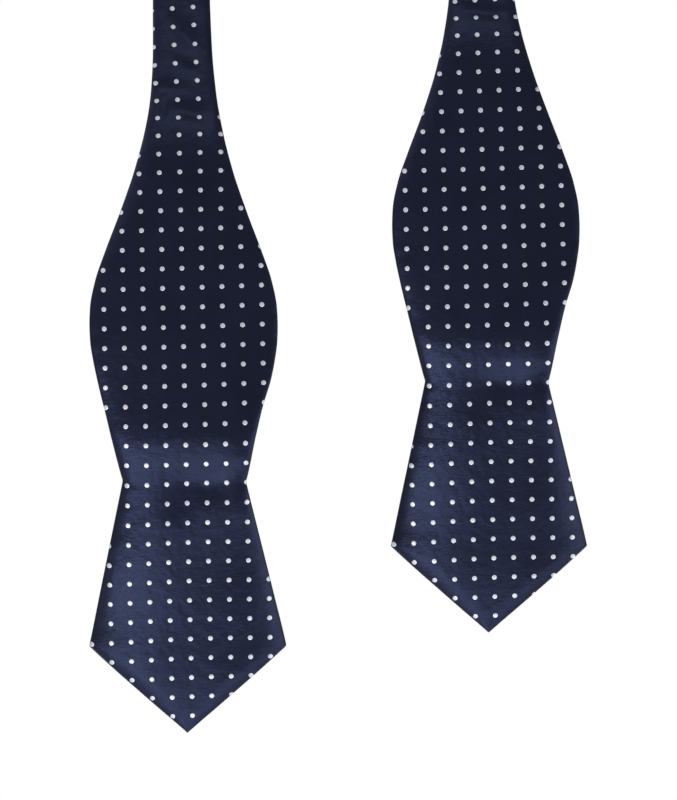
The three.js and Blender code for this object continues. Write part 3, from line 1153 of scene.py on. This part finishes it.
class Half:
    """One half of the tie: two cloths sewn edge to edge, their woven dots and the stitches by the ring."""

    SLOT = "satin"

    def __init__(
        self, strip: Strip, cloth: ClothSize, drape: Drape, lattice: DotLattice, grid: ClothGrid
    ) -> None:
        """Keeps the sizes.

        Args:
            strip: The half's hanging middle line.
            cloth: The cloths' thickness and edges.
            drape: How the cloths depart from flat.
            lattice: The dots.
            grid: How finely to divide the cloths.
        """
        self.strip = strip
        self.cut = strip.route.cut
        self.cloth = cloth
        self.drape = drape
        self.lattice = lattice
        self.grid = grid

    def half_width(self, s: np.ndarray) -> np.ndarray:
        """Half the width of the strip.

        Args:
            s: Distances from the ring.

        Returns:
            Half the width at each place.
        """
        return self.cut.half_width(self.strip.from_tip(s))

    def rows(self) -> np.ndarray:
        """The places along the strip that get a ring of points, finer at bends and corners."""
        strip, grid, cut = self.strip, self.grid, self.cut
        length = strip.length
        coarse = np.arange(strip.start, length, grid.row)
        spots = [length - d for d in (0, cut.point_length, cut.pinch_at)] + [-strip.fold_length / 2]
        fine = [np.arange(p - grid.fine_reach, p + grid.fine_reach, grid.fine_row) for p in spots]
        exact = [strip.start] + [length - d for d in (0, grid.tip_row, cut.point_length, cut.pinch_at)]
        every = np.unique(np.concatenate([coarse, *fine, exact]).round(3))
        every = every[(every >= strip.start) & (every <= length)]
        keep = np.concatenate([[True], np.diff(every) > grid.least_row])
        keep[-1] = True
        return every[keep]

    def thickness(self, inset: np.ndarray, half: np.ndarray, from_tip: np.ndarray) -> np.ndarray:
        """Thickness of one cloth at distances in from an edge of the strip, which rolls wider at the point.

        Args:
            inset: Distances in from the edge.
            half: Half the strip's width there.
            from_tip: Distances from the tip.

        Returns:
            The thickness at each place.
        """
        widening = self.cloth.point_widening * self.drape.point_roll_share.at(from_tip)
        roll = np.minimum(self.cloth.edge_roll + widening, self.cloth.roll_share * half)
        q = np.clip(inset / roll, 0, 1)
        low, full = self.cloth.edge_height, self.cloth.thickness
        return low + (full - low) * np.sqrt(q * (2 - q))

    def outer_height(self, s: np.ndarray, x: np.ndarray, face: Face) -> np.ndarray:
        """Height of a cloth's outer side over the flat strip.

        Args:
            s: Places along the strip.
            x: Places across.
            face: The cloth.

        Returns:
            The height at each place.
        """
        half = self.half_width(s)
        inset = np.maximum(half - np.abs(x), 0)
        d, across = self.strip.from_tip(s), self.strip.side.value * x
        skin = self.cloth.seam_gap / 2 + self.thickness(inset, half, d) + self.drape.edge(d, inset)
        return self.drape.height(d, across, half) + face.value * skin

    def profile(self, half: np.ndarray) -> tuple[np.ndarray, np.ndarray]:
        """The outer side's lines across the strip.

        Args:
            half: Half the strip's width in each row.

        Returns:
            Places across and, for the turned edge, the share of the edge's height, one row a row.
        """
        cloth, grid, half = self.cloth, self.grid, half[:, None]
        roll = np.minimum(cloth.edge_roll, cloth.roll_share * half)
        low = np.linspace(-math.pi / 2, 0, grid.round_lines + 1)[:-1]
        high = np.linspace(0, math.pi / 2, grid.roll_lines + 1)[:-1]
        under = half - cloth.turned(half) * (1 - np.cos(low))
        over = half - roll * (1 - np.cos(high))
        middle = (half - roll) * np.linspace(1, -1, grid.columns)
        x = np.concatenate([under, over, middle, -over[:, ::-1], -under[:, ::-1]], axis=1)
        lift = 1 + np.sin(low)
        level = np.ones(x.shape[1])
        level[: len(low)], level[-len(low) :] = lift, lift[::-1]
        return x, np.broadcast_to(level, x.shape)

    def make_cloth(self, face: Face, material: bpy.types.Material) -> bpy.types.Object:
        """Builds one cloth as a closed sheet.

        Args:
            face: Which cloth.
            material: Its material.

        Returns:
            The cloth, named as the CAD node that it stands for with a suffix.
        """
        rows, side = self.rows(), self.strip.side
        width = self.half_width(rows)
        outer_x, level = self.profile(width)
        half = width[:, None]
        inside = np.linspace(-1, 1, self.grid.inner_columns + 2)[1:-1]
        x = np.concatenate([outer_x, (half - self.cloth.turned(half)) * inside], axis=1)
        s = np.broadcast_to(rows[:, None], x.shape)
        height = self.drape.height(self.strip.from_tip(s), side.value * x, half)
        height = height + face.value * self.cloth.seam_gap / 2
        n = outer_x.shape[1]
        outer = self.outer_height(s[:, :n], outer_x, face)
        height[:, :n] += (outer - height[:, :n]) * level
        maker = MeshMaker()
        flat = np.stack([x.ravel(), s.ravel()], axis=1) * METRES
        flip = face.value * side.value > 0
        maker.add(self.strip.points(s, x, height), flat, tube_faces(len(rows), x.shape[1], flip))
        cloth = maker.make(f"{side.stem}_{face.name.lower()}_cloth", material)
        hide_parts(f"{side.stem}_{face.name.lower()}")
        return cloth

    def make_dots(self, face: Face, material: bpy.types.Material) -> bpy.types.Object:
        """Builds a cloth's woven dots as one mesh of low domes that are cut off at the seams.

        Args:
            face: Which cloth.
            material: Their material.

        Returns:
            The dots.
        """
        lattice, strip = self.lattice, self.strip
        n = lattice.corners
        spots = lattice.centres(strip.route, strip.length - strip.start)
        turn = np.linspace(0, 2 * math.pi, n, endpoint=False)
        reach = np.array([share for share, _ in lattice.rings]) * lattice.radius
        lift = np.array([lattice.crown] + [height for _, height in lattice.rings for _ in turn])
        dx = np.concatenate([[0], (reach[:, None] * np.cos(turn)).ravel()])
        dd = np.concatenate([[0], (reach[:, None] * np.sin(turn)).ravel()])
        figure = np.stack([dx, dd], axis=1) * METRES
        faces = [(0, 1 + c, 1 + (c + 1) % n) for c in range(n)]
        for r in range(len(reach) - 1):
            a, b = 1 + r * n, 1 + (r + 1) * n
            faces += [(a + c, b + c, b + (c + 1) % n, a + (c + 1) % n) for c in range(n)]
        if face is Face.BACK:
            faces = [f[::-1] for f in faces]
        maker = MeshMaker()
        for centre_x, centre_d in spots:
            d = np.maximum(centre_d + dd, lattice.tip_margin)
            s = np.clip(strip.length - d, strip.start + lattice.end_margin, strip.length)
            edge = self.half_width(s) - lattice.seam_margin
            x = strip.side.value * np.clip(centre_x + dx, -edge, edge)
            height = self.outer_height(s, x, face) + face.value * lift
            maker.add(strip.points(s, x, height), figure, faces)
        return maker.make(f"{strip.side.stem}_{face.name.lower()}_dots", material)

    def make_stitches(self, size: "StitchSize", material: bpy.types.Material) -> bpy.types.Object:
        """Builds the stitches that hold the tail to the band, on both of their outer sides.

        Args:
            size: The stitches.
            material: Their thread.

        Returns:
            The stitches as one mesh.
        """
        maker = MeshMaker()
        strip = self.strip
        reach = self.cut.band_width / 2 - size.inset
        count = int(2 * reach / size.step)
        for line in size.lines:
            for place in (line, -strip.fold_length - line):
                for k in range(count):
                    size.add(maker, self, place, left=-reach + k * size.step)
        return maker.make(f"{strip.side.stem}_stitches", material)

    def dress(self, finishes: Finishes, stitches: "StitchSize") -> list[bpy.types.Object]:
        """Builds the half and attaches its pieces to the root.

        Args:
            finishes: The materials.
            stitches: The stitches behind the ring.

        Returns:
            Every piece.
        """
        sewn = self.make_stitches(stitches, finishes.thread)
        made = [sewn]
        length = self.strip.length - self.strip.start
        area = 2 * length * float(np.mean(self.cut.half_width(np.linspace(0, length, 2000))))
        for face in Face:
            cloth = self.make_cloth(face, finishes.satin)
            dots = self.make_dots(face, finishes.dots)
            made += [cloth, dots]
        for piece in made:
            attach(piece, "root")
        return made


@dataclass(frozen=True)
class StitchSize:
    """Running stitches across the band."""

    lines: tuple[float, ...] = (9.5, 12.5)
    step: float = 2.6
    length: float = 1.9
    thread: float = 0.34
    inset: float = 1.6
    sink: float = 0.06
    end_share: float = 0.02
    map_turn: float = 0.3
    sections: int = 9
    corners: int = 8

    def add(self, maker: MeshMaker, half: Half, place: float, left: float) -> None:
        """Adds one stitch to a mesh.

        Args:
            maker: The mesh.
            half: The half that it is sewn in.
            place: Its place along the strip.
            left: Where it starts across the strip.
        """
        t = np.linspace(0, 1, self.sections)
        bulge = np.sqrt(np.clip(1 - (2 * t - 1) ** 4, self.end_share, 1))[:, None]
        turn = np.linspace(0, 2 * math.pi, self.corners, endpoint=False)
        radius = 0.5 * self.thread * bulge
        x = left + self.length * t[:, None] + 0 * turn
        s = place + radius * np.cos(turn)
        base = half.outer_height(np.full(x.shape, place), x, Face.FRONT)
        height = base - self.sink * 2 * (1 - bulge) + radius * np.sin(turn)
        points = half.strip.points(s, x, height)
        flat = np.stack([x.ravel(), (s + self.map_turn * height).ravel()], axis=1) * METRES
        flip = half.strip.side is Side.LONG
        maker.add(points, flat, tube_faces(self.sections, self.corners, flip))


class BandRing:
    """The metal ring at the nape: a rectangle of round wire with soft corners."""

    SLOT = "ring_metal"

    def __init__(self, route: NeckRoute, sections: int = 20, corner_steps: int = 8) -> None:
        """Keeps the sizes.

        Args:
            route: The way round the neck, which the ring lies in.
            sections: Points round the wire.
            corner_steps: Steps round each corner.
        """
        self.route = route
        self.sections = sections
        self.corner_steps = corner_steps

    def path(self) -> np.ndarray:
        """The wire's middle line and its outward direction, one row a point: x, y, out x, out y."""
        ring = self.route.ring
        reach_x = self.route.bar_reach
        reach_y = self.route.cut.band_width / 2 + ring.rail_clearance + ring.wire / 2
        rows = []
        for sign_x, sign_y, start in ((1, 1, 0), (-1, 1, 90), (-1, -1, 180), (1, -1, 270)):
            centre = np.array([sign_x * (reach_x - ring.corner), sign_y * (reach_y - ring.corner)])
            for a in np.radians(start + np.linspace(0, 90, self.corner_steps + 1)):
                out = np.array([math.cos(a), math.sin(a)])
                rows.append(np.concatenate([centre + ring.corner * out, out]))
        return np.array(rows)

    def dress(self, finishes: Finishes) -> bpy.types.Object:
        """Args:
            finishes: The materials.

        Returns:
            The ring.
        """
        path = self.path()
        wire = self.route.ring.wire / 2
        turn = np.linspace(0, 2 * math.pi, self.sections, endpoint=False)
        side = path[:, None, :2] + wire * np.cos(turn)[:, None] * path[:, None, 2:]
        lift = np.broadcast_to(wire * np.sin(turn), side.shape[:2])
        forward, up = loop_axes(self.route.slope)
        centre = self.route.fold_radius + self.route.cloth.strip_thickness / 2
        across = side[..., :1] * np.array([1, 0, 0])
        points = (across + side[..., 1:] * up - (centre + lift[..., None]) * forward).reshape(-1, 3)
        round_m = np.cumsum(np.linalg.norm(np.diff(path[:, :2], axis=0, prepend=path[:1, :2]), axis=1))
        flat = np.stack([np.repeat(round_m, self.sections), np.tile(turn * wire, len(path))], axis=1) * METRES
        maker = MeshMaker()
        maker.add(points * METRES, flat, tube_faces(len(path), self.sections, flip=False, closed=True))
        ring = maker.make("nape_ring", finishes.metal)
        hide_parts("band_ring")
        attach(ring, "root")
        return ring


@dataclass(frozen=True)
class Softbox:
    """A square area light that looks at the ends."""

    name: str
    azimuth: float
    elevation: float
    distance_m: float
    size_m: float
    watts: float

    def make(self, target: Vector) -> bpy.types.Object:
        """Makes the light.

        Args:
            target: What it looks at.

        Returns:
            The light.
        """
        a, e = math.radians(self.azimuth), math.radians(self.elevation)
        back = Vector((math.sin(a) * math.cos(e), -math.cos(a) * math.cos(e), math.sin(e)))
        data = bpy.data.lights.new(self.name, "AREA")
        data.shape = "SQUARE"
        data.size = self.size_m
        data.energy = self.watts
        light = bpy.data.objects.new(self.name, data)
        light.visible_camera = False
        light.location = target + back * self.distance_m
        light.rotation_mode = "QUATERNION"
        light.rotation_quaternion = (-back).to_track_quat("-Z", "Y")
        bpy.context.scene.collection.objects.link(light)
        return light


@dataclass(frozen=True)
class Studio:
    """The camera, the lights, the pale world and the pale floor."""

    mm_per_px: float = 0.3217
    picture_height_px: int = 800
    camera_x: float = 1.17
    camera_z: float = -255.5
    plane_y: float = -130
    distance_m: float = 3
    sensor: float = 36
    floor_drop: float = 620
    floor_radius_m: float = 1.3
    world_light: float = 0.47
    clip_m: tuple[float, float] = (0.05, 30)
    floor_corners: int = 96
    softboxes: tuple[Softbox, ...] = (
        # name, azimuth, elevation, distance_m, size_m, watts
        Softbox("LowSoftbox", -31, -20, 1.3, 0.42, 4.9),
        Softbox("LowLeftCard", -64, -14, 1.4, 0.5, 0.9),
        Softbox("FrontCard", 2, -40, 0.85, 0.4, 1.25),
        Softbox("LeftPointCard", -29, -39, 1.2, 0.42, 2.2),
        Softbox("RightPointCard", 31, -44, 1.2, 0.5, 3.4),
        Softbox("BelowCard", 0, -72, 0.62, 0.7, 1.2),
        Softbox("LeftBelowCard", -60, -52, 1.1, 0.55, 4.4),
        Softbox("RightBelowCard", 60, -52, 1.1, 0.6, 5),
        Softbox("LeftRimCard", -130, -34, 1.1, 0.7, 5),
        Softbox("RightRimCard", 130, -34, 1.1, 0.7, 5),
        Softbox("LowRightCard", 58, -16, 1.4, 0.5, 2.1),
        Softbox("LeftCard", -42, 24, 1.4, 0.4, 0.7),
        Softbox("TopCard", -6, 60, 1.4, 0.42, 1.5),
        Softbox("LeftFill", -76, 34, 1.5, 0.9, 3),
        Softbox("RightFill", 74, -8, 1.5, 0.9, 4.4),
    )

    def make_camera(self) -> None:
        """Makes the camera: level, in front of the ends, framed as the photo."""
        height_m = self.mm_per_px * self.picture_height_px * METRES
        data = bpy.data.cameras.new("Camera")
        data.sensor_width = self.sensor
        data.lens = self.sensor * self.distance_m / height_m
        data.clip_start, data.clip_end = self.clip_m
        camera = bpy.data.objects.new("Camera", data)
        camera.location = Vector((self.camera_x, self.plane_y, self.camera_z)) * METRES
        camera.location.y -= self.distance_m
        camera.rotation_euler = (math.radians(90), 0, 0)
        bpy.context.scene.collection.objects.link(camera)
        bpy.context.scene.camera = camera

    def make_world(self) -> None:
        """Makes the world: white where the camera sees it, dimmer where it lights."""
        world = bpy.data.worlds.new("PaleWorld")
        bpy.context.scene.world = world
        world.use_nodes = True
        world.node_tree.nodes.clear()
        kit = NodeKit(world.node_tree)
        seen = kit.node("ShaderNodeLightPath")
        back = kit.node("ShaderNodeBackground", Color=(1, 1, 1, 1))
        dimmed = 1 - self.world_light
        strength = kit.math("MULTIPLY_ADD", seen.outputs["Is Camera Ray"], dimmed, self.world_light)
        kit.feed(strength, back.inputs["Strength"])
        kit.feed(back.outputs[0], kit.node("ShaderNodeOutputWorld").inputs["Surface"])

    def make_floor(self, lowest_m: float) -> bpy.types.Object:
        """Makes a round floor under the ends.

        Args:
            lowest_m: Height of the lowest point of the tie.

        Returns:
            The floor.
        """
        bpy.ops.mesh.primitive_circle_add(
            vertices=self.floor_corners,
            radius=self.floor_radius_m,
            fill_type="NGON",
            location=(0, 0, lowest_m - self.floor_drop * METRES),
        )
        floor = bpy.context.active_object
        floor.name = "studio_floor"
        floor.data.materials.append(Finish("FloorPaint", (0.8, 0.8, 0.8), 0.9).start().material)
        floor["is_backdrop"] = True
        return floor

    def make(self, lowest_m: float) -> None:
        """Makes the whole studio.

        Args:
            lowest_m: Height of the lowest point of the tie.
        """
        self.make_camera()
        self.make_world()
        self.make_floor(lowest_m)
        target = Vector((0, self.plane_y, self.camera_z)) * METRES
        for box in self.softboxes:
            box.make(target)
        view = bpy.context.scene.view_settings
        view.view_transform = "Standard"
        view.look = "None"


PINCH_FOLDS = (
    Wrinkle(from_tip=81, across=6.5, turn=13, length=10.5, width=6, height=-1.65),
    Wrinkle(from_tip=73, across=-1, turn=0, length=6, width=4.5, height=-0.4),
)


@dataclass(frozen=True)
class TieSize:
    """What differs between the halves, and what they share."""

    straight: dict[Side, float] = field(default_factory=lambda: {Side.LONG: 44, Side.SHORT: 9.35})
    drape: dict[Side, Drape] = field(
        default_factory=lambda: {
            Side.LONG: Drape(
                wrinkles=(
                    *PINCH_FOLDS,
                    Wrinkle(from_tip=230, across=0.6, turn=-58, length=7, width=2.8, height=-0.8),
                    Wrinkle(from_tip=217.5, across=1.8, turn=-31, length=4, width=2.1, height=-0.5),
                    Wrinkle(from_tip=210.5, across=-5, turn=-6, length=5, width=2, height=-0.45),
                    Wrinkle(from_tip=202, across=2, turn=-14, length=5.5, width=2.7, height=-0.75),
                    Wrinkle(from_tip=204, across=-6.6, turn=78, length=5, width=1.8, height=0.45),
                )
            ),
            Side.SHORT: Drape(
                wrinkles=(*PINCH_FOLDS, Wrinkle(203, across=1, turn=-6, length=7, width=2.2, height=-0.7))
            ),
        }
    )
    lattice: dict[Side, DotLattice] = field(
        default_factory=lambda: {
            Side.LONG: DotLattice(
                column_step=(-0.14, 6.285),
                first=(-0.44, 150.2),
                spread=Curve((
                    (20, 0.006), (75, 0.01), (100, 0.006), (120, 0), (160, 0), (172, 0.02), (200, 0.06),
                )),
                slip=Curve(((195, 0), (235, -0.45))),
                creep=Curve(((160, 0), (198, -0.5), (218, 0), (238, 0.8))),
            ),
            Side.SHORT: DotLattice(
                column_step=(-0.185, 6.3),
                first=(-1.03, 150.5),
                spread=Curve((
                    (20, 0.012), (75, 0.012), (100, 0), (130, -0.008), (180, -0.008), (205, 0.02),
                )),
                slip=Curve(((180, 0), (200, 0.5))),
            ),
        }
    )
    cut: StripCut = StripCut()
    ring: RingSize = RingSize()
    cloth: ClothSize = ClothSize()
    grid: ClothGrid = ClothGrid()
    stitches: StitchSize = StitchSize()


class BowTie:
    """The whole tie."""

    def __init__(self, size: TieSize) -> None:
        """Lays out the halves and the ring.

        Args:
            size: The tie's sizes.
        """
        self.size = size
        self.route = NeckRoute(size.cut, size.ring, size.cloth)
        strips = [Strip(self.route, side, straight) for side, straight in size.straight.items()]
        self.halves = [
            Half(strip, size.cloth, size.drape[strip.side], size.lattice[strip.side], size.grid)
            for strip in strips
        ]
        self.ring = BandRing(self.route)

    def dress(self, finishes: Finishes) -> list[bpy.types.Object]:
        """Builds every piece.

        Args:
            finishes: The materials.

        Returns:
            The pieces.
        """
        made = [self.ring.dress(finishes)]
        for half in self.halves:
            made += half.dress(finishes, self.size.stitches)
        return made


def size_now() -> list[list[float]]:
    """The box of what is shown, as two plain corners in metres."""
    return [[round(float(v), 6) for v in corner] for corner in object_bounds()]


def main() -> None:
    """Builds the tie and the studio."""
    logging.basicConfig(level=logging.INFO, format="%(name)s: %(message)s")
    boxes = {"cad": size_now()}
    tie = BowTie(TieSize())
    for piece in tie.dress(Finishes.make()):
        LOG.info("%s: %d faces", piece.name, len(piece.data.polygons))
    boxes["visual"] = size_now()
    Studio().make(boxes["visual"][0][2])
    LOG.info("boxes: %s", boxes)


if __name__ == "__main__":
    main()
